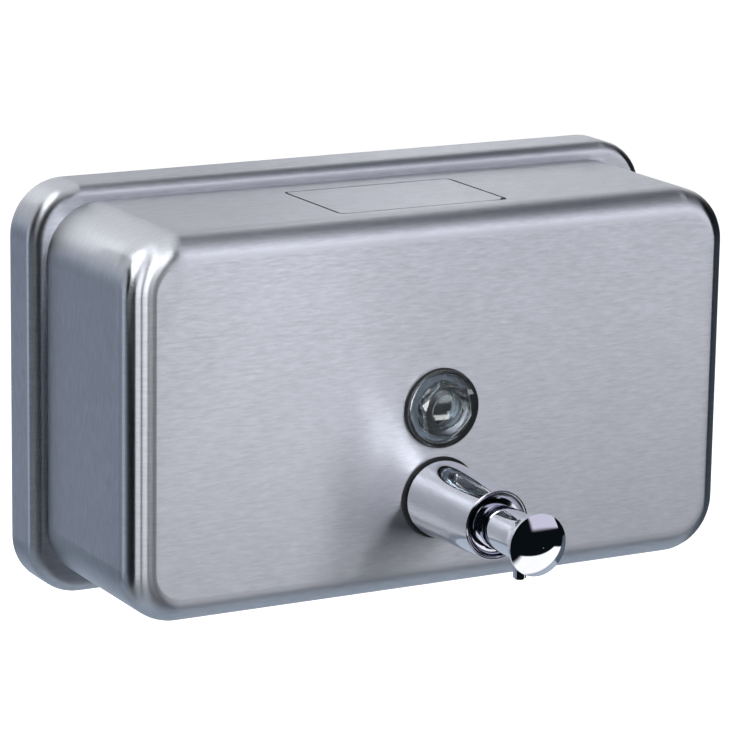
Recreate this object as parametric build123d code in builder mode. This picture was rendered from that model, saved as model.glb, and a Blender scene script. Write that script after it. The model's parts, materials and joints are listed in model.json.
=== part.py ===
from build123d import *
from math import cos, hypot, pi, sin, sqrt
import os

# Wall mounted soap dispenser: a drawn steel tank welded to a back pan, with a push valve and a sight
# window in the front and a hinged filler lid that lies flush in the top.
# X runs along the wall, Y into the wall and Z up. The wall is the plane Y = 0 and the origin is the
# centre of the four wall screws. Lengths are in millimetres.

# Back pan, a shallow tray that is open towards the wall
pan_width = 206.0
pan_height = 121.5
pan_depth = 14.5
pan_corner = 16.0
pan_rim_round = 4.0
pan_sheet = 0.9

# Front shell, a deep drawn box welded to the front of the pan
rim_overhang = 5.0
body_depth = 71.0
shell_corner = 16.5
shell_front_round = 8.0
shell_sheet = 0.9

# Fits shared by many pieces
running_gap = 0.05
loose_gap = 0.3
seat_gap = 0.1

# Filler lid and its hinge
lid_width = 53.8
lid_sheet = 1.2
lid_corner = 1.5
lid_seam = 0.8
lid_rear_seam = 1.0
lid_rear_land = 10.7
lid_notch = 2.2
pivot_drop = 3.0
pivot_inset = 5.0
hinge_pin_r = 1.0
ear_r = 2.2
ear_thick = 1.6
ear_spread = 40.0

# Filler frame under the lid
frame_wall = 2.0
frame_floor = 1.5
frame_front_land = 0.7
ledge_width = 3.8
mouth_corner = 4.0
lid_gasket_thick = 1.0
lid_gasket_band = 2.6

# Snap catch of the lid
latch_width = 10.0
latch_sheet = 1.0
latch_reach = 7.0
latch_foot = 4.0
latch_nib = 0.8
latch_nib_height = 1.5
spring_sheet = 0.4
latch_rivet_r = 1.0
latch_rivet_head_r = 1.3
latch_rivet_head = 0.5
latch_rivet_length = 2.5

# Sight window
window_flange_r = 11.5
window_rim_height = 1.6
window_rim_width = 1.4
window_dish = 0.7
window_shank_r = 8.0
window_shank_length = 6.0
window_bore_r = 5.8
window_glass = 2.3
window_hex_across = 14.6
window_hex_height = 2.8
window_hex_turn = -17.0
window_hex_bevel = 0.2
window_hex_bevel_slope = 0.58
window_eye_r = 5.0
window_eye_depth = 0.8
window_eye_crown = 0.5
window_gasket_thick = 0.8
window_gasket_lip = 0.25
window_gasket_band = 1.4
window_nut_thick = 3.5
nut_wall = 3.0

# Push valve, with distances along its axis counted outwards from the front face
valve_rise = 28.15
valve_spacing = 2.7
barrel_gasket_r = 12.05
barrel_gasket_thick = 1.0
barrel_base_r = 11.4
barrel_end_r = 10.1
barrel_end = 33.1
barrel_lip = 0.7
barrel_hollow_depth = 3.2
barrel_end_wall = 1.5
barrel_bore_r = 8.0
shank_r = 9.0
shank_length = 12.0
inner_gasket_thick = 1.0
locknut_thick = 5.0
locknut_wall = 4.0
wiper_length = 2.5

# Plunger
stem_r = 6.5
stem_end = 49.0
outlet_bore_r = 1.6
button_r = 8.95
button_rim = 55.4
button_rim_thick = 0.9
button_dome = 2.9
button_spigot_r = 3.0
button_spigot_length = 1.2
nozzle_set_back = 9.4
nozzle_reach = 11.7
nozzle_r = 1.9
nozzle_bore_r = 1.3
nozzle_root = 3.0
drip_tip_bore_r = 0.6
drip_tip_length = 4.0
drip_tip_stand_out = 0.5

# Pump behind the valve
chamber_r = 7.0
cylinder_wall = 1.8
cylinder_end_wall = 2.0
cylinder_collar = 4.8
collar_wall = 2.0
piston_length = 4.9
piston_spigot_r = 3.4
piston_spigot_length = 8.0
seal_groove = 1.4
seal_width = 1.6
spring_wire_r = 0.5
spring_mean_r = 5.2
spring_turns = 6
spring_steps = 4

# Suction side of the pump
elbow_r = 5.0
elbow_wall_gap = 5.0
elbow_neck = 1.5
elbow_neck_r = 4.2
elbow_port_r = 2.2
elbow_head = 6.5
elbow_top = 2.0
ball_chamber_r = 3.3
ball_r = 2.6
seat_r = 2.0
seat_below_axis = 6.0
seat_length = 4.0
tube_r = 3.0
tube_bore_r = 2.0
tube_socket = 4.0
tube_foot_gap = 2.0

# Wall plate and hanger behind the pan
plate_width = 150.0
plate_sheet = 1.5
plate_corner = 4.0
plate_headroom = 26.0
plate_tailroom = 6.0
screw_spacing_x = 120.0
screw_spacing_z = 50.0
screw_hole_r = 2.75
hook_width = 20.0
hook_spread = 70.0
hook_stand_off = 5.8
hook_height = 9.0
bend_root = 4.0
bracket_sheet = 1.2
bracket_width = 110.0
bracket_flange = 9.0
bracket_lip = 6.5
lock_tab_width = 18.0
lock_tab_edge = 4.0
lock_screw_set_back = 7.0
lock_screw_r = 2.0
lock_screw_head_r = 3.5
lock_screw_head = 2.0
lock_screw_tail = 3.0
lock_socket_r = 1.25
lock_socket_depth = 1.2

# Sizes that follow from those above
shell_width = pan_width - 2 * rim_overhang
shell_height = pan_height - 2 * rim_overhang
top_z = shell_height / 2
under_top_z = top_z - shell_sheet
tank_floor_z = -under_top_z
face_y = -body_depth
tank_depth = body_depth - pan_depth

valve_z = -shell_height / 2 + valve_rise
window_gasket_r = window_flange_r + window_gasket_lip
window_z = valve_z + barrel_gasket_r + valve_spacing + window_gasket_r

lid_back_y = -pan_depth - lid_rear_land
lid_front_y = face_y + shell_front_round + frame_front_land + frame_wall + lid_seam
lid_under_z = top_z - lid_sheet
pivot_y = lid_back_y - pivot_inset
pivot_z = top_z - pivot_drop
swing_r = hypot(pivot_inset, pivot_drop)

ledge_z = lid_under_z - lid_gasket_thick - seat_gap
rebate_half = lid_width / 2 + lid_seam
rebate_front_y = lid_front_y - lid_seam
pocket_back_y = pivot_y + swing_r + loose_gap
pocket_front_y = pivot_y - ear_r - 2 * loose_gap
pocket_floor_z = pivot_z - swing_r - loose_gap
frame_half = rebate_half + frame_wall
frame_front_y = rebate_front_y - frame_wall
frame_back_y = pocket_back_y + frame_wall
frame_bottom_z = pocket_floor_z - frame_floor
mouth_half = rebate_half - ledge_width - lid_seam
mouth_front_y = rebate_front_y + ledge_width
mouth_back_y = pocket_front_y - ledge_width
mouth_mid_y = (mouth_front_y + mouth_back_y) / 2
mouth_depth = mouth_back_y - mouth_front_y

chamber_front = -shank_length
cylinder_rear = -(tank_depth - elbow_wall_gap - 2 * elbow_r - elbow_neck)
chamber_rear = cylinder_rear + cylinder_end_wall
piston_front = chamber_front - seat_gap
piston_rear = piston_front - piston_length
nozzle_at = button_rim - nozzle_set_back
elbow_at = cylinder_rear - elbow_neck - elbow_r
elbow_y = face_y - elbow_at
seat_z = valve_z - seat_below_axis
socket_z = seat_z - seat_length

plate_top_z = pan_height / 2 - plate_headroom
plate_bottom_z = -pan_height / 2 + plate_tailroom
hook_top_z = plate_top_z + hook_height

# Planes of the two round fittings: out of the front face, and their half sections
valve_front = Plane(origin=(0, face_y, valve_z), x_dir=(1, 0, 0), z_dir=(0, -1, 0))
valve_half = Plane(origin=(0, face_y, valve_z), x_dir=(1, 0, 0), z_dir=(0, 0, -1))
valve_axis = Axis((0, face_y, valve_z), (0, -1, 0))
window_front = Plane(origin=(0, face_y, window_z), x_dir=(1, 0, 0), z_dir=(0, -1, 0))
window_half = Plane(origin=(0, face_y, window_z), x_dir=(1, 0, 0), z_dir=(0, 0, -1))
window_axis = Axis((0, face_y, window_z), (0, -1, 0))


def save(piece, label):
    """Label a finished piece and write it to its own file."""
    piece.part.label = label
    export_step(piece.part, f"parts/{label}.step")


def ring(plane, outer_r, inner_r, low, high):
    """Add a flat ring, or a tube, round a plane's normal between two heights."""
    with BuildSketch(plane.offset(low)) as section:
        Circle(outer_r)
        if inner_r > 0:
            Circle(inner_r, mode=Mode.SUBTRACT)
    extrude(section.sketch, amount=high - low)


def hex_nut(plane, across, bore_r, low, high):
    """Add a hexagonal nut with two flats level, between two heights of a plane."""
    with BuildSketch(plane.offset(low)) as section:
        RegularPolygon(across / 2, 6, major_radius=False)
        Circle(bore_r, mode=Mode.SUBTRACT)
    extrude(section.sketch, amount=high - low)


def front_outer_edge(piece):
    """Longest edge of the face of a piece that lies furthest out from the wall."""
    return piece.faces().sort_by(Axis.Y)[0].edges().sort_by(SortBy.LENGTH)[-1]


def bent_strip(points, bend_r, sheet, width, middle_x=0.0):
    """Add a strip of sheet that follows a line in the YZ plane, with rounded bends."""
    with BuildSketch(Plane.YZ.offset(middle_x)) as section:
        with BuildLine():
            FilletPolyline(*points, radius=bend_r)
        trace(line_width=sheet)
    extrude(section.sketch, amount=width / 2, both=True)


# Back pan: drawn tray with a rounded rim, and a hole below for the locking screw
with BuildPart() as back_pan:
    with BuildSketch(Plane.XZ):
        RectangleRounded(pan_width, pan_height, pan_corner)
    extrude(amount=pan_depth)
    fillet(back_pan.faces().sort_by(Axis.Y)[0].edges(), pan_rim_round)
    offset(amount=-pan_sheet, openings=back_pan.faces().sort_by(Axis.Y)[-1])
    with BuildSketch(Plane.XY.offset(-pan_height / 2)):
        with Locations((0, -lock_screw_set_back)):
            Circle(lock_screw_r + loose_gap)
    extrude(amount=pan_sheet, mode=Mode.SUBTRACT)
save(back_pan, "back_pan")

# Front shell: drawn box with rounded front edges, open behind, holed for the window, valve and lid
with BuildPart() as front_shell:
    with BuildSketch(Plane.XZ.offset(pan_depth)):
        RectangleRounded(shell_width, shell_height, shell_corner)
    extrude(amount=tank_depth)
    fillet(front_shell.faces().sort_by(Axis.Y)[0].edges(), shell_front_round)
    offset(amount=-shell_sheet, openings=front_shell.faces().sort_by(Axis.Y)[-1])
    with BuildSketch(valve_front):
        Circle(shank_r + loose_gap)
    extrude(amount=-shell_sheet, mode=Mode.SUBTRACT)
    with BuildSketch(window_front):
        Circle(window_shank_r + loose_gap)
    extrude(amount=-shell_sheet, mode=Mode.SUBTRACT)
    opening_back_y = lid_back_y + lid_rear_seam
    with BuildSketch(Plane.XY.offset(top_z)):
        with Locations((0, (opening_back_y + rebate_front_y) / 2)):
            RectangleRounded(2 * rebate_half, opening_back_y - rebate_front_y, lid_corner + lid_seam)
    extrude(amount=-shell_sheet, mode=Mode.SUBTRACT)
save(front_shell, "front_shell")

# Filler frame: collar under the top with a ledge for the seal, the mouth and a pocket for the hinge
with BuildPart() as filler_frame:
    with BuildSketch(Plane.XY.offset(frame_bottom_z)):
        with Locations((0, (frame_front_y + frame_back_y) / 2)):
            RectangleRounded(2 * frame_half, frame_back_y - frame_front_y, lid_corner + frame_wall)
    extrude(amount=under_top_z - frame_bottom_z)
    with BuildSketch(Plane.XY.offset(ledge_z)):
        with Locations((0, (rebate_front_y + pocket_back_y) / 2)):
            Rectangle(2 * rebate_half, pocket_back_y - rebate_front_y)
    extrude(amount=under_top_z - ledge_z, mode=Mode.SUBTRACT)
    with BuildSketch(Plane.XY.offset(pocket_floor_z)):
        with Locations((0, (pocket_front_y + pocket_back_y) / 2)):
            Rectangle(2 * rebate_half, pocket_back_y - pocket_front_y)
    extrude(amount=under_top_z - pocket_floor_z, mode=Mode.SUBTRACT)
    with BuildSketch(Plane.XY.offset(frame_bottom_z)):
        with Locations((0, mouth_mid_y)):
            RectangleRounded(2 * mouth_half, mouth_depth, mouth_corner)
    extrude(amount=under_top_z - frame_bottom_z, mode=Mode.SUBTRACT)
    with BuildSketch(Plane.YZ):
        with Locations((pivot_y, pivot_z)):
            Circle(hinge_pin_r + running_gap / 2)
    extrude(amount=frame_half, both=True, mode=Mode.SUBTRACT)
    rivet_z = frame_bottom_z + latch_rivet_head_r
    with BuildSketch(Plane.XZ.offset(-mouth_front_y)):
        with Locations((0, rivet_z)):
            Circle(latch_rivet_r + running_gap / 2)
    extrude(amount=latch_rivet_length, mode=Mode.SUBTRACT)
save(filler_frame, "filler_frame")

# Hinge pin: plain rod through both side walls of the frame
with BuildPart() as hinge_pin:
    with BuildSketch(Plane.YZ):
        with Locations((pivot_y, pivot_z)):
            Circle(hinge_pin_r)
    extrude(amount=frame_half, both=True)
save(hinge_pin, "hinge_pin")

# Filler lid: flat plate with a notched front corner and two ears that turn on the pin
with BuildPart() as filler_lid:
    lid_mid_y = (lid_back_y + lid_front_y) / 2
    with BuildSketch(Plane.XY.offset(lid_under_z)):
        with Locations((0, lid_mid_y)):
            Rectangle(lid_width, lid_back_y - lid_front_y)
    extrude(amount=lid_sheet)
    upright = filler_lid.edges().filter_by(Axis.Z)
    notch_edge = upright.sort_by_distance((lid_width / 2, lid_front_y, top_z))[0]
    other_edges = [edge for edge in upright if edge != notch_edge]
    chamfer(notch_edge, lid_notch)
    fillet(other_edges, lid_corner)
    for side in (-1, 1):
        with BuildSketch(Plane.YZ.offset(side * ear_spread / 2)) as ear:
            with Locations((pivot_y, pivot_z)):
                Circle(ear_r)
            with Locations((pivot_y, (pivot_z + lid_under_z) / 2)):
                Rectangle(2 * ear_r, lid_under_z - pivot_z)
            with Locations((pivot_y, pivot_z)):
                Circle(hinge_pin_r + running_gap, mode=Mode.SUBTRACT)
        extrude(amount=ear_thick / 2, both=True)
save(filler_lid, "filler_lid")

# Lid gasket: flat rubber band under the lid that closes on the ledge round the mouth
with BuildPart() as lid_gasket:
    with BuildSketch(Plane.XY.offset(lid_under_z - lid_gasket_thick)):
        with Locations((0, mouth_mid_y)):
            RectangleRounded(
                2 * (mouth_half + lid_gasket_band),
                mouth_depth + 2 * lid_gasket_band,
                mouth_corner + lid_gasket_band,
            )
            RectangleRounded(2 * mouth_half, mouth_depth, mouth_corner, mode=Mode.SUBTRACT)
    extrude(amount=lid_gasket_thick)
save(lid_gasket, "lid_gasket")

# Latch tongue: bent strip under the front of the lid, with a nib that snaps past the spring
tongue_front_y = mouth_front_y + spring_sheet + 2 * latch_nib
tongue_tip_z = lid_under_z - latch_reach
with BuildPart() as latch_tongue:
    tongue_mid_y = tongue_front_y + latch_sheet / 2
    foot_mid_z = lid_under_z - latch_sheet / 2
    bent_strip(
        [
            (tongue_mid_y + latch_foot, foot_mid_z),
            (tongue_mid_y, foot_mid_z),
            (tongue_mid_y, tongue_tip_z),
        ],
        latch_sheet,
        latch_sheet,
        latch_width,
    )
    with BuildSketch(Plane.YZ):
        with BuildLine():
            Polyline(
                (tongue_front_y + latch_sheet / 2, tongue_tip_z),
                (tongue_front_y, tongue_tip_z),
                (tongue_front_y - latch_nib, tongue_tip_z + latch_nib_height),
                (tongue_front_y + latch_sheet / 2, tongue_tip_z + latch_nib_height),
                close=True,
            )
        make_face()
    extrude(amount=latch_width / 2, both=True)
save(latch_tongue, "latch_tongue")

# Latch spring: thin leaf on the front wall of the mouth, bowed over the nib
spring_back_y = mouth_front_y + spring_sheet / 2
spring_nose_z = tongue_tip_z + 2 * latch_nib_height
spring_nose_y = tongue_front_y - spring_sheet
with BuildPart() as latch_spring:
    bent_strip(
        [
            (spring_back_y, frame_bottom_z),
            (spring_back_y, tongue_tip_z + latch_nib_height / 2),
            (spring_nose_y, spring_nose_z),
            (spring_back_y, spring_nose_z + latch_nib_height),
        ],
        spring_sheet,
        spring_sheet,
        latch_width,
    )
    with BuildSketch(Plane.XZ.offset(-mouth_front_y - spring_sheet)):
        with Locations((0, rivet_z)):
            Circle(latch_rivet_r + running_gap / 2)
    extrude(amount=spring_sheet, mode=Mode.SUBTRACT)
save(latch_spring, "latch_spring")

# Latch rivet: low round head that holds the leaf to the frame
with BuildPart() as latch_rivet:
    rivet_plane = Plane(
        origin=(0, mouth_front_y + spring_sheet, rivet_z), x_dir=(1, 0, 0), z_dir=(0, 1, 0)
    )
    ring(rivet_plane, latch_rivet_head_r, 0, 0, latch_rivet_head)
    fillet(latch_rivet.faces().sort_by(Axis.Y)[-1].edges(), latch_rivet_head / 2)
    ring(rivet_plane, latch_rivet_r, 0, -latch_rivet_length - spring_sheet, 0)
save(latch_rivet, "latch_rivet")

# Sight window: clear plug with a dished flange, a raised hexagon bevelled like a bolt head, and a
# hollow threaded shank
window_top = window_gasket_thick + window_rim_height
dish_floor = window_top - window_dish
hex_top = dish_floor + window_hex_height
eye_floor = hex_top - window_eye_depth
eye_crown = eye_floor + window_eye_crown
with BuildPart() as window_lens:
    with BuildSketch(window_half):
        with BuildLine():
            Polyline(
                (0, dish_floor - window_glass),
                (window_bore_r, dish_floor - window_glass),
                (window_bore_r, -window_shank_length),
                (window_shank_r, -window_shank_length),
                (window_shank_r, window_gasket_thick),
                (window_flange_r, window_gasket_thick),
                (window_flange_r, window_top - window_dish),
            )
            JernArc((window_flange_r, window_top - window_dish), (0, 1), window_dish, 90)
            Polyline(
                (window_flange_r - window_dish, window_top),
                (window_flange_r - window_rim_width, window_top),
                (window_flange_r - 2 * window_rim_width, dish_floor),
                (0, dish_floor),
                (0, dish_floor - window_glass),
            )
        make_face()
    revolve(axis=window_axis)
    with BuildSketch(window_front.offset(dish_floor)):
        RegularPolygon(window_hex_across / 2, 6, major_radius=False, rotation=window_hex_turn)
    extrude(amount=window_hex_height)
    hex_corner_r = window_hex_across / sqrt(3) + seat_gap
    bevel_r = window_hex_across / 2 - window_hex_bevel
    bevel_foot = hex_top - (hex_corner_r - bevel_r) * window_hex_bevel_slope
    with BuildSketch(window_half):
        with BuildLine():
            Polyline((bevel_r, hex_top), (hex_corner_r, hex_top), (hex_corner_r, bevel_foot), close=True)
        make_face()
    revolve(axis=window_axis, mode=Mode.SUBTRACT)
    with BuildSketch(window_half):
        with BuildLine():
            Polyline((0, eye_crown), (0, hex_top), (window_eye_r, hex_top), (window_eye_r, eye_floor))
            TangentArc((0, eye_crown), (window_eye_r, eye_floor), tangent=(1, 0))
        make_face()
    revolve(axis=window_axis, mode=Mode.SUBTRACT)
save(window_lens, "window_lens")

# Window gasket: narrow black ring under the rim of the plug
with BuildPart() as window_gasket:
    ring(window_front, window_gasket_r, window_gasket_r - window_gasket_band, 0, window_gasket_thick)
    fillet(front_outer_edge(window_gasket), window_gasket_lip)
save(window_gasket, "window_gasket")

# Window nut: holds the plug from inside the tank
with BuildPart() as window_nut:
    hex_nut(
        window_front,
        2 * (window_shank_r + nut_wall),
        window_shank_r + running_gap,
        -shell_sheet - window_nut_thick,
        -shell_sheet,
    )
save(window_nut, "window_nut")

# Valve barrel: slightly tapered body with a hollowed end and a shank through the front
hollow_floor = barrel_end - barrel_hollow_depth
wiper_front = hollow_floor - barrel_end_wall
throat_r = stem_r + 2 * loose_gap
with BuildPart() as valve_barrel:
    with BuildSketch(valve_half):
        with BuildLine():
            Polyline(
                (barrel_bore_r, -shank_length),
                (shank_r, -shank_length),
                (shank_r, barrel_gasket_thick),
                (barrel_base_r, barrel_gasket_thick),
                (barrel_end_r, barrel_end),
                (barrel_end_r - barrel_lip, barrel_end),
            )
            SagittaArc(
                (barrel_end_r - barrel_lip, barrel_end), (throat_r, hollow_floor), barrel_lip
            )
            Polyline(
                (throat_r, hollow_floor),
                (throat_r, wiper_front),
                (barrel_bore_r, wiper_front),
                (barrel_bore_r, -shank_length),
            )
        make_face()
    revolve(axis=valve_axis)
    end_edges = valve_barrel.faces().sort_by(Axis.Y)[0].edges()
    fillet(end_edges, barrel_lip / 3)
save(valve_barrel, "valve_barrel")

# Barrel gasket: black ring that shows round the foot of the barrel
with BuildPart() as barrel_gasket:
    ring(valve_front, barrel_gasket_r, shank_r + seat_gap, 0, barrel_gasket_thick)
    fillet(front_outer_edge(barrel_gasket), barrel_gasket_thick / 3)
save(barrel_gasket, "barrel_gasket")

# Inner gasket and locknut: clamp the barrel from inside the tank
nut_front = -shell_sheet - inner_gasket_thick
nut_rear = nut_front - locknut_thick
with BuildPart() as inner_gasket:
    ring(valve_front, barrel_gasket_r, shank_r + seat_gap, nut_front, -shell_sheet)
save(inner_gasket, "inner_gasket")

with BuildPart() as valve_locknut:
    hex_nut(valve_front, 2 * (shank_r + locknut_wall), shank_r + running_gap, nut_rear, nut_front)
save(valve_locknut, "valve_locknut")

# Wiper seal and guide bush: line the barrel and guide the stem
wiper_rear = wiper_front - wiper_length
with BuildPart() as wiper_seal:
    ring(valve_front, barrel_bore_r - running_gap, stem_r + running_gap, wiper_rear, wiper_front)
save(wiper_seal, "wiper_seal")

with BuildPart() as guide_bush:
    ring(valve_front, barrel_bore_r - running_gap, stem_r + running_gap, chamber_front, wiper_rear)
save(guide_bush, "guide_bush")

# Pump cylinder: cup behind the barrel with a collar that screws on the shank
with BuildPart() as pump_cylinder:
    collar_inner_r = shank_r + running_gap
    cylinder_r = chamber_r + cylinder_wall
    with BuildSketch(valve_half):
        with BuildLine():
            Polyline(
                (collar_inner_r, chamber_front + cylinder_collar),
                (collar_inner_r + collar_wall, chamber_front + cylinder_collar),
                (collar_inner_r + collar_wall, chamber_front - collar_wall),
                (cylinder_r, chamber_front - collar_wall),
                (cylinder_r, cylinder_rear),
                (elbow_port_r, cylinder_rear),
                (elbow_port_r, chamber_rear),
                (chamber_r, chamber_rear),
                (chamber_r, chamber_front),
                (collar_inner_r, chamber_front),
                close=True,
            )
        make_face()
    revolve(axis=valve_axis)
save(pump_cylinder, "pump_cylinder")

# Plunger stem: polished rod with an outlet bore, sockets at both ends and a hole for the nozzle
nozzle_plane = Plane(origin=(0, face_y - nozzle_at, valve_z), x_dir=(1, 0, 0), z_dir=(0, 0, -1))
with BuildPart() as plunger_stem:
    ring(valve_front, stem_r, outlet_bore_r, piston_front, stem_end)
    with BuildSketch(valve_front.offset(piston_front)):
        Circle(piston_spigot_r + running_gap)
    extrude(amount=piston_spigot_length + seat_gap, mode=Mode.SUBTRACT)
    with BuildSketch(valve_front.offset(stem_end)):
        Circle(button_spigot_r + running_gap)
    extrude(amount=-button_spigot_length - seat_gap, mode=Mode.SUBTRACT)
    with BuildSketch(nozzle_plane):
        Circle(nozzle_r + running_gap)
    extrude(amount=stem_r, mode=Mode.SUBTRACT)
save(plunger_stem, "plunger_stem")

# Push button: mirror dome on a flared neck, with a spigot in the stem
with BuildPart() as push_button:
    rim_back = button_rim - button_rim_thick
    dome_top = button_rim + button_dome
    with BuildSketch(valve_half):
        with BuildLine():
            Polyline(
                (0, stem_end - button_spigot_length),
                (button_spigot_r, stem_end - button_spigot_length),
                (button_spigot_r, stem_end),
                (stem_r, stem_end),
            )
            Spline(
                (stem_r, stem_end),
                (button_r, rim_back),
                tangents=[(0, 1), (1, 0.35)],
            )
            Line((button_r, rim_back), (button_r, button_rim))
            TangentArc((0, dome_top), (button_r, button_rim), tangent=(1, 0))
            Line((0, dome_top), (0, stem_end - button_spigot_length))
        make_face()
    revolve(axis=valve_axis)
save(push_button, "push_button")

# Spout nozzle and drip tip: outlet under the stem, just behind the button
with BuildPart() as spout_nozzle:
    ring(nozzle_plane, nozzle_r, nozzle_bore_r, nozzle_root, nozzle_reach)
save(spout_nozzle, "spout_nozzle")

with BuildPart() as drip_tip:
    ring(
        nozzle_plane,
        nozzle_bore_r - running_gap / 2,
        drip_tip_bore_r,
        nozzle_reach - drip_tip_length,
        nozzle_reach + drip_tip_stand_out,
    )
save(drip_tip, "drip_tip")

# Piston and its seal: drive the soap through the hollow stem
with BuildPart() as piston:
    piston_r = chamber_r - 2 * seat_gap
    groove_front = (piston_front + piston_rear + seal_width) / 2 + running_gap
    groove_rear = groove_front - seal_width - 2 * running_gap
    with BuildSketch(valve_half):
        with BuildLine():
            Polyline(
                (outlet_bore_r, piston_front + piston_spigot_length),
                (piston_spigot_r, piston_front + piston_spigot_length),
                (piston_spigot_r, piston_front),
                (piston_r, piston_front),
                (piston_r, groove_front),
                (piston_r - seal_groove, groove_front),
                (piston_r - seal_groove, groove_rear),
                (piston_r, groove_rear),
                (piston_r, piston_rear),
                (outlet_bore_r, piston_rear),
                close=True,
            )
        make_face()
    revolve(axis=valve_axis)
save(piston, "piston")

with BuildPart() as piston_seal:
    ring(
        valve_front,
        chamber_r - running_gap,
        piston_r - seal_groove + running_gap,
        groove_rear + running_gap,
        groove_front - running_gap,
    )
save(piston_seal, "piston_seal")

# Return spring: one unbroken wire wound between the piston and the end of the cylinder
coil_front = piston_rear - spring_wire_r - seat_gap
coil_rear = chamber_rear + spring_wire_r + seat_gap
coil_slope = (coil_front - coil_rear) / (2 * pi * spring_turns)


def coil_point(angle):
    """Point of the wire's middle line at an angle round the valve's axis."""
    return Vector(
        spring_mean_r * cos(angle),
        face_y - coil_rear - coil_slope * angle,
        valve_z + spring_mean_r * sin(angle),
    )


def coil_tangent(angle):
    """Direction of the wire's middle line at an angle round the valve's axis."""
    return Vector(-spring_mean_r * sin(angle), -coil_slope, spring_mean_r * cos(angle)).normalized()


def biarc(start, start_way, end, end_way):
    """Two arcs that join two points, tangent to a direction at each and to each other."""
    chord = end - start
    ways = start_way + end_way
    square = 2 * (1 - start_way.dot(end_way))
    lean = chord.dot(ways)
    reach = (sqrt(lean * lean + square * chord.dot(chord)) - lean) / square
    middle = (start + end + (start_way - end_way) * reach) * 0.5
    way = (end - end_way * reach) - (start + start_way * reach)
    TangentArc(start, middle, tangent=start_way)
    TangentArc(middle, end, tangent=way)


with BuildPart() as return_spring:
    step = 2 * pi / spring_steps
    with BuildLine() as coil:
        for index in range(spring_turns * spring_steps):
            low = index * step
            biarc(coil_point(low), coil_tangent(low), coil_point(low + step), coil_tangent(low + step))
    with BuildSketch(Plane(origin=coil_point(0), z_dir=coil_tangent(0))):
        Circle(spring_wire_r)
    sweep(path=coil.line)
save(return_spring, "return_spring")

coil_samples = 240
coil_wire = coil.wires()[0]
coil_points = [coil_wire.position_at(index / coil_samples) for index in range(coil_samples + 1)]
half_turn = coil_samples // (2 * spring_turns)
coil_gap = min(
    (coil_points[first] - coil_points[second]).length - 2 * spring_wire_r
    for first in range(coil_samples + 1)
    for second in range(first + half_turn, coil_samples + 1)
)
print(f"return spring: least gap between turns {coil_gap:.2f} mm")

# Inlet elbow: upright chamber for the check ball, joined to the cylinder by a neck
with BuildPart() as inlet_elbow:
    elbow_plane = Plane(origin=(0, elbow_y, valve_z), x_dir=(1, 0, 0), z_dir=(0, 0, 1))
    elbow_foot = socket_z - tube_socket - valve_z
    ring(elbow_plane, elbow_r, 0, elbow_foot, elbow_head)
    ring(valve_front, elbow_neck_r, 0, elbow_at, cylinder_rear)
    with BuildSketch(elbow_plane.offset(-seat_below_axis)):
        Circle(ball_chamber_r)
    extrude(amount=seat_below_axis + elbow_head - elbow_top, mode=Mode.SUBTRACT)
    with BuildSketch(elbow_plane.offset(-seat_below_axis)):
        Circle(seat_r)
    extrude(amount=-seat_length, mode=Mode.SUBTRACT)
    with BuildSketch(elbow_plane.offset(elbow_foot)):
        Circle(tube_r + running_gap)
    extrude(amount=tube_socket, mode=Mode.SUBTRACT)
    with BuildSketch(valve_front.offset(elbow_at)):
        Circle(elbow_port_r)
    extrude(amount=cylinder_rear - elbow_at, mode=Mode.SUBTRACT)
save(inlet_elbow, "inlet_elbow")

# Inlet ball: rests on the seat and lifts when the plunger comes back
with BuildPart() as inlet_ball:
    ball_z = seat_z + sqrt(ball_r**2 - seat_r**2) + running_gap
    with Locations((0, elbow_y, ball_z)):
        Sphere(ball_r)
save(inlet_ball, "inlet_ball")

# Dip tube: draws from just above the floor of the tank
with BuildPart() as dip_tube:
    tube_plane = Plane(origin=(0, elbow_y, 0), x_dir=(1, 0, 0), z_dir=(0, 0, 1))
    ring(tube_plane, tube_r, tube_bore_r, tank_floor_z + tube_foot_gap, socket_z)
save(dip_tube, "dip_tube")

# Wall plate: screwed to the wall, with two hooks above and a tab below for the locking screw
hook_mid_y = -plate_sheet - hook_stand_off + plate_sheet / 2
hook_mid_z = plate_top_z - plate_sheet / 2
tab_mid_z = plate_bottom_z + plate_sheet / 2
with BuildPart() as wall_plate:
    with BuildSketch(Plane.XZ):
        with Locations((0, (plate_top_z + plate_bottom_z) / 2)):
            RectangleRounded(plate_width, plate_top_z - plate_bottom_z, plate_corner)
        with GridLocations(screw_spacing_x, screw_spacing_z, 2, 2):
            Circle(screw_hole_r, mode=Mode.SUBTRACT)
    extrude(amount=plate_sheet)
    for side in (-1, 1):
        bent_strip(
            [
                (-plate_sheet / 2, hook_mid_z - bend_root),
                (-plate_sheet / 2, hook_mid_z),
                (hook_mid_y, hook_mid_z),
                (hook_mid_y, hook_top_z),
            ],
            plate_sheet,
            plate_sheet,
            hook_width,
            side * hook_spread / 2,
        )
    bent_strip(
        [
            (-plate_sheet / 2, tab_mid_z + bend_root),
            (-plate_sheet / 2, tab_mid_z),
            (-lock_screw_set_back - lock_tab_edge, tab_mid_z),
        ],
        plate_sheet,
        plate_sheet,
        lock_tab_width,
    )
    with BuildSketch(Plane.XY.offset(plate_bottom_z)):
        with Locations((0, -lock_screw_set_back)):
            Circle(lock_screw_r + running_gap)
    extrude(amount=plate_sheet, mode=Mode.SUBTRACT)
save(wall_plate, "wall_plate")

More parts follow.
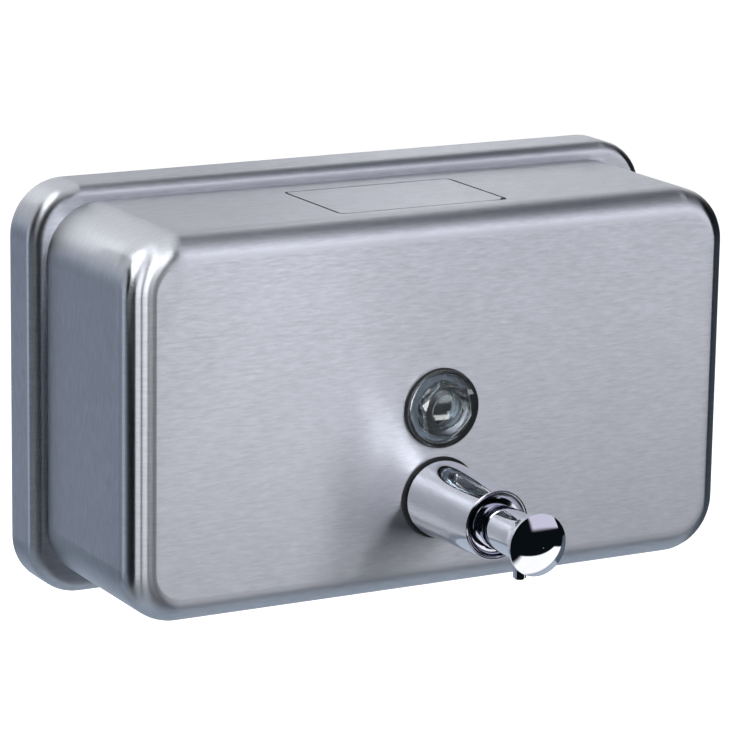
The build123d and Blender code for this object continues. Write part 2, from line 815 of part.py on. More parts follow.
# Hanger bracket: strip welded behind the front of the pan, whose lip drops behind the hooks
bracket_mid_y = -(pan_depth - pan_sheet) + bracket_sheet / 2
bracket_web_z = hook_top_z + bracket_sheet / 2
lip_mid_y = -(plate_sheet + (hook_stand_off - plate_sheet) / 2)
with BuildPart() as hanger_bracket:
    bent_strip(
        [
            (bracket_mid_y, bracket_web_z + bracket_flange),
            (bracket_mid_y, bracket_web_z),
            (lip_mid_y, bracket_web_z),
            (lip_mid_y, bracket_web_z - bracket_lip),
        ],
        bracket_sheet,
        bracket_sheet,
        bracket_width,
    )
save(hanger_bracket, "hanger_bracket")

# Locking screw: comes up through the bottom of the pan into the tab of the wall plate
with BuildPart() as lock_screw:
    screw_plane = Plane(origin=(0, -lock_screw_set_back, -pan_height / 2), x_dir=(1, 0, 0), z_dir=(0, 0, 1))
    ring(screw_plane, lock_screw_head_r, 0, -lock_screw_head, 0)
    fillet(lock_screw.faces().sort_by(Axis.Z)[0].edges(), lock_screw_head / 3)
    ring(screw_plane, lock_screw_r, 0, 0, plate_tailroom + plate_sheet + lock_screw_tail)
    with BuildSketch(screw_plane.offset(-lock_screw_head)):
        RegularPolygon(lock_socket_r, 6)
    extrude(amount=lock_socket_depth, mode=Mode.SUBTRACT)
save(lock_screw, "lock_screw")
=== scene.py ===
import json
from math import cos, pi, radians, sin, tan

import bpy
import numpy as np
from mathutils import Matrix, Vector


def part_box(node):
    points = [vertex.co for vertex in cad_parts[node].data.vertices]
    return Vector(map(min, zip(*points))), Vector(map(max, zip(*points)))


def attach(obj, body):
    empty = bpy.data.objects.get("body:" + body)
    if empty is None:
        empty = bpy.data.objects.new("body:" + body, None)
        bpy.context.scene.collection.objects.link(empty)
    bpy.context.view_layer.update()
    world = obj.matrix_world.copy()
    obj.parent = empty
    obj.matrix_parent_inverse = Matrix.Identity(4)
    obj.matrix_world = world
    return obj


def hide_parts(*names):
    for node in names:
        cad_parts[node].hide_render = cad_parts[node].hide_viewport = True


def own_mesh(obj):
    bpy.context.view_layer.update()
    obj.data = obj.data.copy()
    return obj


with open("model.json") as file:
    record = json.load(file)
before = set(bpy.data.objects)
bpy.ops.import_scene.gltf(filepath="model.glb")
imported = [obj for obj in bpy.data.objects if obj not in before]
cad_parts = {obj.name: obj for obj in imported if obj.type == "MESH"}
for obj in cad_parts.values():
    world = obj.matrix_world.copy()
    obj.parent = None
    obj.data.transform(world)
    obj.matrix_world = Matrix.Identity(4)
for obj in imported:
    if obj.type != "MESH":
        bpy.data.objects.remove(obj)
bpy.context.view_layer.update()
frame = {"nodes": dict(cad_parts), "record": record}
nodes = frame["nodes"]
scene = bpy.context.scene

# The looks of a wall mounted soap dispenser in brushed stainless steel, with a chrome push valve.
# X runs along the wall, Y into it and Z up. Lengths are in metres, and MM turns millimetres to metres.
MM = 0.001

# Camera, as fitted to the outlines of the photograph
VIEW_AZIMUTH = radians(-28.769)
VIEW_ELEVATION = radians(13.513)
VIEW_ROLL = radians(0.911)
VIEW_DISTANCE = 1092.254 * MM
VIEW_TARGET = Vector((-9.399, -45.0, 5.604)) * MM
LENS = 182.954
SENSOR = 36.0

# Studio: floor and surround, the point that lamps and cards face, and the paints and edges of the cards.
# FLOOR_LIFT is the light that the floor adds where it is seen, and FILL_LEVEL what the surround gives unseen.
# Edges are shares of a card's width and height, and the dark walls' azimuths are in degrees.
FLOOR_BELOW = 300 * MM
FLOOR_SIZE = 16.0
FLOOR_PAINT = "#EEEEEE"
FLOOR_LIFT = 0.66
FILL_LEVEL = 0.36
CENTRE = Vector((0.0, -40.0, 0.0)) * MM
UP = Vector((0, 0, 1))
WHITE = "#FFFFFF"
BLACK_CLOTH = "#0C1114"
BLACK_FLAG = "#0B0E14"
FIRM_EDGE = (0.02, 0.02)
USUAL_EDGE = (0.1, 0.1)
BROAD_EDGE = (0.2, 0.2)
WALL_AZIMUTHS = range(-75, 136, 60)
WALL_HALF = 34


def direction(azimuth, elevation):
    """Unit vector away from the object; azimuth 0 is straight out of its front, 90 its right-hand side."""
    flat = cos(elevation)
    return Vector((sin(azimuth) * flat, -cos(azimuth) * flat, sin(elevation)))


def linear(code):
    """Linear colour, with alpha, of an sRGB hex code."""
    shares = [int(code[i : i + 2], 16) / 255 for i in (1, 3, 5)]
    return tuple(s / 12.92 if s <= 0.04045 else ((s + 0.055) / 1.055) ** 2.4 for s in shares) + (1.0,)


def add(tree, kind, inputs=None, **settings):
    """Add a node to a tree with its settings, and set or link its inputs."""
    node = tree.nodes.new(kind)
    for name, value in settings.items():
        setattr(node, name, value)
    for name, value in (inputs or {}).items():
        if isinstance(value, bpy.types.Node):
            value = value.outputs[0]
        if isinstance(value, bpy.types.NodeSocket):
            tree.links.new(value, node.inputs[name])
        else:
            node.inputs[name].default_value = value
    return node


def material(name):
    """A new material with an empty node tree."""
    made = bpy.data.materials.new(name)
    made.use_nodes = True
    made.node_tree.nodes.clear()
    return made, made.node_tree


# Ranges that hold most values of a noise pattern: one with fine detail and a soft one
FINE_LOW = 0.25
FINE_HIGH = 0.75
SOFT_LOW = 0.3
SOFT_HIGH = 0.7

# Brushed stainless sheet: a fine belt has drawn lines along it, so that lamps smear across the lines and stay
# crisp along them. The belt hardly reaches the tight rounds, which are shinier than the flats. Real lines are
# under 0.1 mm wide, and are drawn coarser so that they show.
STEEL = "#C6C9D0"
LINE_LENGTH = 4.5 * MM
LINE_WIDTH = 0.7 * MM
LINE_DEPTH = 0.0015 * MM
LINE_DARK = 0.87
LINE_BRIGHT = 1.09
LINE_GLOSS = 0.03
CLOUD_SIZE = 35 * MM
CLOUD_DARK = 0.97
CLOUD_BRIGHT = 1.02
FLAT_ROUGHNESS = 0.40
ROUND_ROUGHNESS = 0.28
# Shares of the normal along one axis, at which a surface counts as round, as flat and as a side wall
ROUND_SHARE = 0.95
FLAT_SHARE = 0.999
SIDE_WALL = 0.97
# Shares along Y and along Z, over which the lines change their way at an upright edge and at a sloping one
EDGE_START = 0.1
EDGE_END = 0.25
SLOPE_START = 0.1
SLOPE_END = 0.3


def brushed_stainless():
    """Satin sheet with lines along X, and round the side walls, that vary in tone, gloss and depth."""
    made, tree = material("brushed_stainless_sheet")
    place = add(tree, "ShaderNodeTexCoord")
    normal = add(tree, "ShaderNodeSeparateXYZ", {"Vector": place.outputs["Normal"]})
    across_x = add(tree, "ShaderNodeMath", {0: normal.outputs["X"]}, operation="ABSOLUTE")
    across_y = add(tree, "ShaderNodeMath", {0: normal.outputs["Y"]}, operation="ABSOLUTE")
    across_z = add(tree, "ShaderNodeMath", {0: normal.outputs["Z"]}, operation="ABSOLUTE")
    side = add(tree, "ShaderNodeMath", {0: across_x, 1: SIDE_WALL}, operation="GREATER_THAN")
    widest = add(tree, "ShaderNodeMath", {0: across_x, 1: across_y}, operation="MAXIMUM")
    widest = add(tree, "ShaderNodeMath", {0: widest, 1: across_z}, operation="MAXIMUM")
    flat = add(tree, "ShaderNodeMapRange", {"Value": widest, "From Min": ROUND_SHARE, "From Max": FLAT_SHARE})
    # The wide way of the gloss lies across the lines
    level = add(tree, "ShaderNodeMath", {0: normal.outputs["Z"], 1: side}, operation="ADD")
    down = add(tree, "ShaderNodeMath", {0: normal.outputs["Y"], 1: -1.0}, operation="MULTIPLY")
    across = add(tree, "ShaderNodeCombineXYZ", {"Y": level, "Z": down})
    # Lines are long along X, along Z on the side walls, and along Y where they turn round an upright edge
    fine = 1 / LINE_WIDTH
    long = 1 / LINE_LENGTH
    fine_z = add(tree, "ShaderNodeMapRange", {
        "Value": across_y, "From Min": EDGE_START, "From Max": EDGE_END, "To Min": long, "To Max": fine})
    wall = add(tree, "ShaderNodeMapRange", {
        "Value": across_y, "From Min": EDGE_START, "From Max": EDGE_END, "To Min": fine, "To Max": long})
    slope = add(tree, "ShaderNodeMapRange", {
        "Value": across_z, "From Min": SLOPE_START, "From Max": SLOPE_END, "To Min": long, "To Max": fine})
    fine_y = add(tree, "ShaderNodeMath", {0: wall, 1: slope}, operation="MAXIMUM")
    stretch = add(tree, "ShaderNodeCombineXYZ", {"X": long, "Y": fine_y, "Z": fine_z})
    lined = add(tree, "ShaderNodeVectorMath", {0: place.outputs["Object"], 1: stretch}, operation="MULTIPLY")
    lines = add(tree, "ShaderNodeTexNoise", {"Vector": lined, "Scale": 1.0, "Detail": 3.0, "Roughness": 0.7})
    cloud = add(tree, "ShaderNodeTexNoise", {
        "Vector": place.outputs["Object"], "Scale": 1 / CLOUD_SIZE, "Detail": 2.0})
    tone = add(tree, "ShaderNodeMapRange", {
        "Value": lines, "From Min": FINE_LOW, "From Max": FINE_HIGH,
        "To Min": LINE_DARK, "To Max": LINE_BRIGHT})
    haze = add(tree, "ShaderNodeMapRange", {
        "Value": cloud, "From Min": SOFT_LOW, "From Max": SOFT_HIGH,
        "To Min": CLOUD_DARK, "To Max": CLOUD_BRIGHT})
    tone = add(tree, "ShaderNodeMath", {0: tone, 1: haze}, operation="MULTIPLY")
    colour = add(tree, "ShaderNodeVectorMath", {0: linear(STEEL)[:3], "Scale": tone}, operation="SCALE")
    gloss = add(tree, "ShaderNodeMapRange", {
        "Value": flat, "To Min": ROUND_ROUGHNESS, "To Max": FLAT_ROUGHNESS})
    spread = add(tree, "ShaderNodeMapRange", {
        "Value": lines, "From Min": FINE_LOW, "From Max": FINE_HIGH,
        "To Min": LINE_GLOSS, "To Max": -LINE_GLOSS})
    rough = add(tree, "ShaderNodeMath", {0: spread, 1: flat, 2: gloss}, operation="MULTIPLY_ADD")
    relief = add(tree, "ShaderNodeBump", {"Height": lines, "Strength": flat, "Distance": LINE_DEPTH})
    shader = add(tree, "ShaderNodeBsdfPrincipled", {
        "Base Color": colour, "Metallic": 1.0, "Roughness": rough, "Anisotropic": 1.0, "Tangent": across,
        "Normal": relief})
    add(tree, "ShaderNodeOutputMaterial", {"Surface": shader})
    return made


# Chromium plate on turned brass: mirror bright, with a faint blue and the soft haze of a polishing mop
CHROME = "#E4E5EC"
MOP_SIZE = 6 * MM
MIRROR_ROUGHNESS = 0.02
HAZE_ROUGHNESS = 0.07
HAZE_TONE = 0.95
PLATE_WAVE = 0.004 * MM


def polished_chrome():
    """Mirror plate whose gloss and flatness drift a little, as polishing leaves them."""
    made, tree = material("polished_chromium_plate")
    place = add(tree, "ShaderNodeTexCoord")
    mop = add(tree, "ShaderNodeTexNoise", {
        "Vector": place.outputs["Object"], "Scale": 1 / MOP_SIZE, "Detail": 2.0})
    rough = add(tree, "ShaderNodeMapRange", {
        "Value": mop, "From Min": SOFT_LOW, "From Max": SOFT_HIGH,
        "To Min": MIRROR_ROUGHNESS, "To Max": HAZE_ROUGHNESS})
    tone = add(tree, "ShaderNodeMapRange", {
        "Value": mop, "From Min": SOFT_LOW, "From Max": SOFT_HIGH, "To Min": 1.0, "To Max": HAZE_TONE})
    colour = add(tree, "ShaderNodeVectorMath", {0: linear(CHROME)[:3], "Scale": tone}, operation="SCALE")
    wave = add(tree, "ShaderNodeBump", {"Height": mop, "Strength": 0.5, "Distance": PLATE_WAVE})
    shader = add(tree, "ShaderNodeBsdfPrincipled", {
        "Base Color": colour, "Metallic": 1.0, "Roughness": rough, "Normal": wave})
    add(tree, "ShaderNodeOutputMaterial", {"Surface": shader})
    return made


# Moulded nitrile rubber: nearly black and dull, with the fine stipple of its mould, drawn coarser than it is
# so that it shows
RUBBER = "#121315"
RUBBER_BLOOM = "#1E1F21"
STIPPLE_SIZE = 0.35 * MM
STIPPLE_DEPTH = 0.02 * MM
STIPPLE_SMOOTH = 0.45
STIPPLE_ROUGH = 0.7
BLOOM_SIZE = 3.5 * MM


def black_rubber():
    """Black rubber with a stippled skin and a little grey bloom."""
    made, tree = material("moulded_black_rubber")
    place = add(tree, "ShaderNodeTexCoord")
    stipple = add(tree, "ShaderNodeTexNoise", {
        "Vector": place.outputs["Object"], "Scale": 1 / STIPPLE_SIZE, "Detail": 2.0})
    bloom = add(tree, "ShaderNodeTexNoise", {
        "Vector": place.outputs["Object"], "Scale": 1 / BLOOM_SIZE, "Detail": 2.0})
    # Inputs 0, 6 and 7 of a mix of colours are its share and its two colours, and output 2 is the result
    colour = add(tree, "ShaderNodeMix", {
        0: bloom, 6: linear(RUBBER), 7: linear(RUBBER_BLOOM)}, data_type="RGBA")
    rough = add(tree, "ShaderNodeMapRange", {
        "Value": stipple, "To Min": STIPPLE_SMOOTH, "To Max": STIPPLE_ROUGH})
    skin = add(tree, "ShaderNodeBump", {"Height": stipple, "Strength": 0.4, "Distance": STIPPLE_DEPTH})
    shader = add(tree, "ShaderNodeBsdfPrincipled", {
        "Base Color": colour.outputs[2], "Roughness": rough, "Specular IOR Level": 0.35, "Normal": skin})
    add(tree, "ShaderNodeOutputMaterial", {"Surface": shader})
    return made


# Moulded clear acrylic: glassy, faintly blue, with the slow waves that the melt leaves in it
ACRYLIC = "#C4CDD3"
ACRYLIC_IOR = 1.49
ACRYLIC_CLEAR = 0.97
POLISH_SMOOTH = 0.01
POLISH_ROUGH = 0.08
FLOW_SIZE = 4 * MM
FLOW_DEPTH = 0.06 * MM


def clear_acrylic():
    """Clear plug with slightly uneven polish and flow waves."""
    made, tree = material("moulded_clear_acrylic")
    place = add(tree, "ShaderNodeTexCoord")
    flow = add(tree, "ShaderNodeTexNoise", {
        "Vector": place.outputs["Object"], "Scale": 1 / FLOW_SIZE, "Detail": 2.0})
    rough = add(tree, "ShaderNodeMapRange", {"Value": flow, "To Min": POLISH_SMOOTH, "To Max": POLISH_ROUGH})
    wave = add(tree, "ShaderNodeBump", {"Height": flow, "Strength": 0.5, "Distance": FLOW_DEPTH})
    shader = add(tree, "ShaderNodeBsdfPrincipled", {
        "Base Color": linear(ACRYLIC), "Roughness": rough, "IOR": ACRYLIC_IOR,
        "Transmission Weight": ACRYLIC_CLEAR, "Normal": wave})
    add(tree, "ShaderNodeOutputMaterial", {"Surface": shader})
    return made


# Mill finish stainless: rolled, neither brushed nor polished, with a fine grey mottle whose marks are drawn
# coarser than they are so that they show
MILL_STEEL = "#B4B6B9"
ROLL_LENGTH = 6 * MM
ROLL_WIDTH = 0.5 * MM
ROLL_DEPTH = 0.002 * MM
ROLL_DARK = 0.85
ROLL_BRIGHT = 1.1
ROLL_SMOOTH = 0.3
ROLL_ROUGH = 0.45


def plain_steel():
    """Grey rolled steel with faint marks of the rolls along X."""
    made, tree = material("mill_finish_stainless")
    place = add(tree, "ShaderNodeTexCoord")
    stretch = (1 / ROLL_LENGTH, 1 / ROLL_WIDTH, 1 / ROLL_WIDTH)
    rolled = add(tree, "ShaderNodeVectorMath", {0: place.outputs["Object"], 1: stretch}, operation="MULTIPLY")
    marks = add(tree, "ShaderNodeTexNoise", {"Vector": rolled, "Scale": 1.0, "Detail": 3.0})
    tone = add(tree, "ShaderNodeMapRange", {"Value": marks, "To Min": ROLL_DARK, "To Max": ROLL_BRIGHT})
    colour = add(tree, "ShaderNodeVectorMath", {0: linear(MILL_STEEL)[:3], "Scale": tone}, operation="SCALE")
    rough = add(tree, "ShaderNodeMapRange", {"Value": marks, "To Min": ROLL_ROUGH, "To Max": ROLL_SMOOTH})
    relief = add(tree, "ShaderNodeBump", {"Height": marks, "Strength": 0.4, "Distance": ROLL_DEPTH})
    shader = add(tree, "ShaderNodeBsdfPrincipled", {
        "Base Color": colour, "Metallic": 1.0, "Roughness": rough, "Normal": relief})
    add(tree, "ShaderNodeOutputMaterial", {"Surface": shader})
    return made


# Moulded nylon: milky white and softly glossy, with the skin of a spark-eroded mould, drawn coarser than
# it is so that it shows
NYLON = "#DEDDD6"
NYLON_SHADE = "#CFCEC5"
NYLON_GLOW = (0.6 * MM, 0.5 * MM, 0.4 * MM)
SPARK_SIZE = 0.5 * MM
SPARK_DEPTH = 0.015 * MM
SPARK_SMOOTH = 0.35
SPARK_ROUGH = 0.5
DRIFT_SIZE = 10 * MM


def white_nylon():
    """Milky white plastic with a fine even skin and a slow drift of tone."""
    made, tree = material("moulded_white_nylon")
    place = add(tree, "ShaderNodeTexCoord")
    spark = add(tree, "ShaderNodeTexNoise", {
        "Vector": place.outputs["Object"], "Scale": 1 / SPARK_SIZE, "Detail": 2.0})
    drift = add(tree, "ShaderNodeTexNoise", {
        "Vector": place.outputs["Object"], "Scale": 1 / DRIFT_SIZE, "Detail": 1.0})
    colour = add(tree, "ShaderNodeMix", {
        0: drift, 6: linear(NYLON), 7: linear(NYLON_SHADE)}, data_type="RGBA")
    rough = add(tree, "ShaderNodeMapRange", {"Value": spark, "To Min": SPARK_SMOOTH, "To Max": SPARK_ROUGH})
    skin = add(tree, "ShaderNodeBump", {"Height": spark, "Strength": 0.3, "Distance": SPARK_DEPTH})
    shader = add(tree, "ShaderNodeBsdfPrincipled", {
        "Base Color": colour.outputs[2], "Roughness": rough, "Subsurface Weight": 0.1,
        "Subsurface Radius": NYLON_GLOW, "Subsurface Scale": 1.0, "Normal": skin})
    add(tree, "ShaderNodeOutputMaterial", {"Surface": shader})
    return made


finishes = {
    "brushed_stainless": brushed_stainless(),
    "polished_chrome": polished_chrome(),
    "black_rubber": black_rubber(),
    "clear_acrylic": clear_acrylic(),
    "plain_steel": plain_steel(),
    "white_nylon": white_nylon(),
}
for piece in frame["record"]["subparts"]:
    nodes[piece["node"]].material_slots[0].material = finishes[piece["material_slot"]]


# Return spring: round wire with closed end turns, in the space that its solid holds
SPRING_TURNS = 6
SPRING_WIRE_R = 0.5 * MM
CLOSED_PITCH = 1.15 * MM
STEPS_PER_TURN = 48
WIRE_SIDES = 14


def return_spring():
    """Wire whose middle line is a helix about Y, with a circle carried along it across the line.

    The height rises by the closed pitch over the first and last turn and evenly between them. Each circle has
    one radius outwards from the axis and one along the cross product of the line's direction and that radius.
    """
    low, high = (np.array(corner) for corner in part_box("return_spring"))
    middle = (low + high) / 2
    mean_r = (high[0] - low[0]) / 2 - SPRING_WIRE_R
    rear = high[1] - SPRING_WIRE_R
    length = high[1] - low[1] - 2 * SPRING_WIRE_R
    turns = np.linspace(0, SPRING_TURNS, SPRING_TURNS * STEPS_PER_TURN + 1)
    bends = [0, 1, SPRING_TURNS - 1, SPRING_TURNS]
    heights = [0, CLOSED_PITCH, length - CLOSED_PITCH, length]
    rise = np.interp(turns, bends, heights)
    angle = 2 * pi * turns
    outward = np.stack([np.cos(angle), np.zeros_like(angle), np.sin(angle)], axis=1)
    line = outward * mean_r + np.stack([0 * rise + middle[0], rear - rise, 0 * rise + middle[2]], axis=1)
    along = np.gradient(line, axis=0)
    along /= np.linalg.norm(along, axis=1, keepdims=True)
    beside = np.cross(along, outward)
    round_wire = np.linspace(0, 2 * pi, WIRE_SIDES, endpoint=False)
    out_part = np.cos(round_wire)[None, :, None] * outward[:, None]
    side_part = np.sin(round_wire)[None, :, None] * beside[:, None]
    rings = line[:, None] + SPRING_WIRE_R * (out_part + side_part)
    first = np.arange(len(line) - 1)[:, None] * WIRE_SIDES + np.arange(WIRE_SIDES)[None]
    second = np.arange(len(line) - 1)[:, None] * WIRE_SIDES + np.roll(np.arange(WIRE_SIDES), -1)[None]
    quads = np.stack([first, second, second + WIRE_SIDES, first + WIRE_SIDES], axis=2).reshape(-1, 4)
    start_cap = list(reversed(range(WIRE_SIDES)))
    end_cap = [(len(line) - 1) * WIRE_SIDES + i for i in range(WIRE_SIDES)]
    mesh = bpy.data.meshes.new("return_spring_wire")
    mesh.from_pydata(rings.reshape(-1, 3).tolist(), [], quads.tolist() + [start_cap, end_cap])
    mesh.polygons.foreach_set("use_smooth", np.repeat([True, False], [len(quads), 2]))
    mesh.update()
    mesh.materials.append(finishes["plain_steel"])
    made = bpy.data.objects.new("return_spring_wire", mesh)
    scene.collection.objects.link(made)
    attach(made, "housing")
    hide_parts("return_spring")
    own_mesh(made)


return_spring()


# Studio: floor, white surround, lamps, and cards that only show in metal and glass
def plane(name, centre, facing, width, height):
    """A flat rectangle about a centre, with its face towards a direction."""
    turn = facing.to_track_quat("Z", "Y").to_matrix()
    corners = [(-1, -1), (1, -1), (1, 1), (-1, 1)]
    points = [centre + turn @ Vector((x * width / 2, y * height / 2, 0)) for x, y in corners]
    mesh = bpy.data.meshes.new(name)
    mesh.from_pydata(points, [], [(0, 1, 2, 3)])
    mesh.uv_layers.new(name="sheet").uv.foreach_set("vector", (0, 0, 1, 0, 1, 1, 0, 1))
    made = bpy.data.objects.new(name, mesh)
    scene.collection.objects.link(made)
    return made


def seen(tree):
    """Factor that is 1 for rays of the camera, of gloss and through glass, and 0 for others."""
    path = add(tree, "ShaderNodeLightPath")
    eye = add(tree, "ShaderNodeMath", {
        0: path.outputs["Is Camera Ray"], 1: path.outputs["Is Glossy Ray"]}, operation="MAXIMUM")
    return add(tree, "ShaderNodeMath", {0: eye, 1: path.outputs["Is Transmission Ray"]}, operation="MAXIMUM")


def floor():
    """Pale floor that keeps its shadow and looks white to the eye and in the metal."""
    made, tree = material("white_studio_floor")
    lift = add(tree, "ShaderNodeMath", {0: seen(tree), 1: FLOOR_LIFT}, operation="MULTIPLY")
    dull = add(tree, "ShaderNodeBsdfDiffuse", {"Color": linear(FLOOR_PAINT)})
    glow = add(tree, "ShaderNodeEmission", {"Strength": lift})
    both = add(tree, "ShaderNodeAddShader", {0: dull, 1: glow})
    add(tree, "ShaderNodeOutputMaterial", {"Surface": both})
    sheet = plane("floor", -UP * FLOOR_BELOW, UP, FLOOR_SIZE, FLOOR_SIZE)
    sheet.data.materials.append(made)


def surround():
    """World that is white where it is seen, also in metal and glass, and a softer fill elsewhere."""
    world = bpy.data.worlds.new("white_surround")
    world.use_nodes = True
    tree = world.node_tree
    tree.nodes.clear()
    level = add(tree, "ShaderNodeMapRange", {"Value": seen(tree), "To Min": FILL_LEVEL, "To Max": 1.0})
    sky = add(tree, "ShaderNodeBackground", {"Color": linear(WHITE), "Strength": level})
    add(tree, "ShaderNodeOutputWorld", {"Surface": sky})
    scene.world = world


def lamp(name, azimuth, elevation, distance, size, power):
    """Square soft box that faces the object and lights what is dull; the metal sees the cards instead."""
    data = bpy.data.lights.new(name, "AREA")
    data.shape = "SQUARE"
    data.size = size
    data.energy = power
    made = bpy.data.objects.new(name, data)
    away = direction(radians(azimuth), radians(elevation))
    made.location = CENTRE + away * distance
    made.rotation_euler = away.to_track_quat("Z", "Y").to_euler()
    made.visible_glossy = False
    made.visible_camera = False
    scene.collection.objects.link(made)


def card(name, centre, facing, width, height, code=WHITE, level=1.0, soft=USUAL_EDGE, only=None):
    """Card that only metal and glass see: bright as a soft box or dark as a flag.

    Its edges fade out over a share of its width and of its height. A card for only some pieces adds its light
    to what is behind it, and the other pieces see through it.
    """
    made = plane(name, centre, facing, width, height)
    made.visible_camera = False
    made.visible_diffuse = False
    made.visible_shadow = False
    paint, tree = material(name)
    sheet = add(tree, "ShaderNodeTexCoord")
    place = add(tree, "ShaderNodeSeparateXYZ", {"Vector": sheet.outputs["UV"]})
    cover = 1.0
    for axis, share in zip("XY", soft):
        far = add(tree, "ShaderNodeMath", {0: 1.0, 1: place.outputs[axis]}, operation="SUBTRACT")
        near = add(tree, "ShaderNodeMath", {0: far, 1: place.outputs[axis]}, operation="MINIMUM")
        fade = add(tree, "ShaderNodeMapRange", {
            "Value": near, "From Max": share}, interpolation_type="SMOOTHSTEP")
        cover = add(tree, "ShaderNodeMath", {0: fade, 1: cover}, operation="MULTIPLY")
    clear = add(tree, "ShaderNodeBsdfTransparent")
    if only:
        made.light_linking.receiver_collection = only
        power = add(tree, "ShaderNodeMath", {0: cover, 1: level}, operation="MULTIPLY")
        glow = add(tree, "ShaderNodeEmission", {"Color": linear(code), "Strength": power})
        look = add(tree, "ShaderNodeAddShader", {0: clear, 1: glow})
    else:
        glow = add(tree, "ShaderNodeEmission", {"Color": linear(code), "Strength": level})
        look = add(tree, "ShaderNodeMixShader", {0: cover, 1: clear, 2: glow})
    add(tree, "ShaderNodeOutputMaterial", {"Surface": look})
    made.data.materials.append(paint)


def card_round(name, azimuths, elevations, distance, **look):
    """Card that faces the object and spans two azimuths and two elevations, in degrees."""
    azimuth = radians(sum(azimuths) / 2)
    elevation = radians(sum(elevations) / 2)
    away = direction(azimuth, elevation)
    width = 2 * distance * tan(radians(azimuths[1] - azimuths[0]) / 2) * cos(elevation)
    height = 2 * distance * tan(radians(elevations[1] - elevations[0]) / 2)
    card(name, CENTRE + away * distance, -away, width, height, **look)


def card_level(name, height, across, along, **look):
    """Level card at a height, between two places across X and two along Y, in metres."""
    middle = Vector((sum(across) / 2, sum(along) / 2, height))
    card(name, middle, UP, across[1] - across[0], along[1] - along[0], **look)


def card_upright(name, side, along, heights, **look):
    """Upright card at a place across X that faces along X, between two places along Y and two heights."""
    middle = Vector((side, sum(along) / 2, sum(heights) / 2))
    card(name, middle, Vector((1, 0, 0)), along[1] - along[0], heights[1] - heights[0], **look)


def card_front(name, along, across, heights, **look):
    """Upright card at a place along Y that faces the object, between two places across X and two heights."""
    middle = Vector((sum(across) / 2, along, sum(heights) / 2))
    card(name, middle, Vector((0, 1, 0)), across[1] - across[0], heights[1] - heights[0], **look)


def group(name, pieces):
    """A collection of pieces that some cards are for."""
    made = bpy.data.collections.new(name)
    for piece in pieces:
        made.objects.link(nodes[piece])
    return made


sheet_steel = group("sheet_steel", ["front_shell", "back_pan", "filler_lid"])
shell_only = group("shell_only", ["front_shell"])
pan_only = group("pan_only", ["back_pan"])
shell_and_lid = group("shell_and_lid", ["front_shell", "filler_lid"])
barrel_only = group("barrel_only", ["valve_barrel"])
chrome = group("chrome", ["valve_barrel", "push_button", "plunger_stem", "spout_nozzle"])
plunger_chrome = group("plunger_chrome", ["push_button", "plunger_stem", "spout_nozzle"])
window_only = group("window_only", ["window_lens"])


def dark_room():
    """Dark walls round the front and a dark cloth before it, which the chrome and the rounds mirror."""
    for number, azimuth in enumerate(WALL_AZIMUTHS):
        card_round(f"dark_wall_{number}", azimuths=(azimuth - WALL_HALF, azimuth + WALL_HALF),
                   elevations=(-27, 52), distance=1.3, code=BLACK_CLOTH, soft=(0.02, 0.05))
    card_level("dark_cloth", height=-0.2, across=(-1.6, 1.6), along=(-1.6, -0.15), code=BLACK_CLOTH,
               soft=FIRM_EDGE)


def left_edge_lines():
    """Flags and strips for the black line and the white lines down the shell's left edge, and its glint."""
    card_upright("fillet_flag", side=-0.125, along=(-0.084, -0.061), heights=(-0.09, 0.085), code=BLACK_FLAG,
                 soft=(0.05, 0.1))
    card_front("flange_flag", along=-0.0665, across=(-0.2, -0.099), heights=(-0.07, 0.14), code=BLACK_FLAG,
               soft=(0.02, 0.1))
    card_level("glint_flag", height=0.0545, across=(-0.135, -0.099), along=(-0.0605, -0.051), code=BLACK_FLAG,
               soft=FIRM_EDGE)
    card_front("corner_glint", along=-0.060, across=(-0.135, -0.100), heights=(0.056, 0.080), level=15.0,
               soft=BROAD_EDGE, only=shell_only)
    card_round("left_strip", azimuths=(-64, -42.5), elevations=(-50, 40), distance=0.9, level=2.1,
               only=shell_only)
    card_round("right_strip", azimuths=(-40, -18), elevations=(-50, 40), distance=0.9, level=1.75,
               only=shell_only)


def key_lights():
    """Soft boxes above the left and the front, for the upper corners, the front and the barrel."""
    card_round("key_soft_box", azimuths=(-125, -45), elevations=(38, 76), distance=0.8, level=0.7,
               soft=BROAD_EDGE, only=shell_and_lid)
    card_round("pan_key_soft_box", azimuths=(-105, -50), elevations=(40, 76), distance=0.8, level=3.4,
               soft=BROAD_EDGE, only=pan_only)
    card_round("pan_corner_soft_box", azimuths=(-66, -22), elevations=(20, 54), distance=0.7, level=3.2,
               soft=BROAD_EDGE, only=pan_only)
    card_round("front_key_soft_box", azimuths=(-40, 6), elevations=(18, 46), distance=0.7, level=4.5,
               soft=BROAD_EDGE, only=shell_only)
    card_round("barrel_soft_box", azimuths=(-30, 20), elevations=(18, 46), distance=0.7, level=7.5,
               soft=BROAD_EDGE, only=barrel_only)


def front_lights():
    """Broad lights before the right half, for the even tone of the front and the bright top of the button."""
    upper = {"across": (0.005, 0.75), "heights": (0.03, 0.32), "soft": (0.05, 0.15)}
    card_front("upper_front_soft_box", along=-0.32, code="#F0ECFF", level=0.85, **upper)
    card_front("upper_front_boost", along=-0.319, level=0.75, only=sheet_steel, **upper)
    card_front("front_glow", along=-0.25, across=(-0.05, 0.50), heights=(-0.075, 0.055), level=1.6,
               soft=(0.05, 0.2), only=sheet_steel)
    card_front("left_glow", along=-0.249, across=(-0.06, 0.10), heights=(-0.075, 0.055), level=0.6,
               soft=(0.3, 0.2), only=sheet_steel)


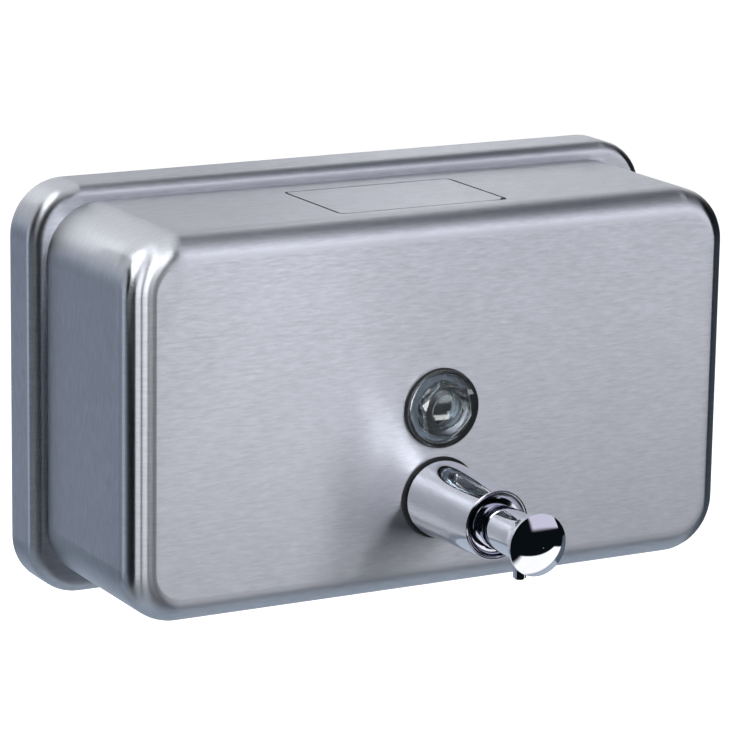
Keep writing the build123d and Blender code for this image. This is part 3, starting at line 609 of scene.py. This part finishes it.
def rear_cards():
    """Light behind the right for the top, a grey flag above it, and a pale screen for the left walls."""
    card_front("rear_soft_box", along=0.35, across=(0.16, 0.72), heights=(0.07, 0.50), level=1.5,
               soft=BROAD_EDGE, only=sheet_steel)
    card_round("overhead_flag", azimuths=(38, 128), elevations=(48, 80), distance=0.7, code="#323C48",
               soft=(0.15, 0.2))
    card_round("left_rear_screen", azimuths=(-190, -103), elevations=(-60, 30), distance=0.7, code="#C2CCDE",
               soft=(0.1, 0.4))


def chrome_reflectors():
    """Level reflectors below the valve, for the white lower half of the button and the barrel's underside."""
    below = {"across": (-0.09, 0.4), "along": (-0.35, -0.15)}
    card_level("front_reflector", height=-0.16, level=0.6, only=chrome, **below)
    card_level("front_reflector_boost", height=-0.159, level=0.7, only=plunger_chrome, **below)


def under_flags():
    """Grey flags below, darkest at the right, that tone the bottom rounds down from the white floor."""
    below = {"along": (-0.22, 1.8), "soft": FIRM_EDGE}
    card_level("left_under_flag", height=-0.25, across=(-1.5, -0.18), code="#95A0AD", **below)
    card_level("under_flag", height=-0.2505, across=(-0.22, 0.33), code="#B6C1CE", **below)
    card_level("right_under_flag", height=-0.25, across=(0.30, 1.5), code="#5C6672", **below)


def window_lights():
    """Soft boxes for the sparkle of the clear plug, and a soft light behind it, as if from the soap."""
    card_round("window_soft_box", azimuths=(-70, -20), elevations=(-10, 40), distance=0.5, level=17.0,
               only=window_only)
    card_front("window_back_light", along=-0.045, across=(-0.012, 0.012), heights=(-0.010, 0.014),
               code="#C2C4CC", level=2.2, soft=(0.5, 0.5), only=window_only)
    card_round("window_low_box", azimuths=(0, 34), elevations=(-44, -16), distance=0.5, level=12.0,
               only=window_only)


floor()
surround()
lamp("key_lamp", azimuth=-50, elevation=45, distance=1.2, size=0.8, power=14)
lamp("fill_lamp", azimuth=50, elevation=30, distance=1.4, size=1.0, power=8)
lamp("top_lamp", azimuth=0, elevation=85, distance=1.2, size=0.8, power=8)
dark_room()
left_edge_lines()
key_lights()
front_lights()
rear_cards()
chrome_reflectors()
under_flags()
window_lights()


# Camera at the photograph's angle
def aim_camera():
    """Camera that looks back along the fitted direction, with its small roll."""
    back = direction(VIEW_AZIMUTH, VIEW_ELEVATION)
    right = Vector((cos(VIEW_AZIMUTH), sin(VIEW_AZIMUTH), 0))
    up = back.cross(right)
    rolled_right = right * cos(VIEW_ROLL) + up * sin(VIEW_ROLL)
    rolled_up = up * cos(VIEW_ROLL) - right * sin(VIEW_ROLL)
    data = bpy.data.cameras.new("photo_camera")
    data.lens = LENS
    data.sensor_width = SENSOR
    data.clip_end = 4 * FLOOR_SIZE
    made = bpy.data.objects.new("photo_camera", data)
    turn = Matrix((rolled_right, rolled_up, back)).transposed().to_4x4()
    made.matrix_world = Matrix.Translation(VIEW_TARGET + back * VIEW_DISTANCE) @ turn
    scene.collection.objects.link(made)
    scene.camera = made


aim_camera()
scene.view_settings.view_transform = "Standard"
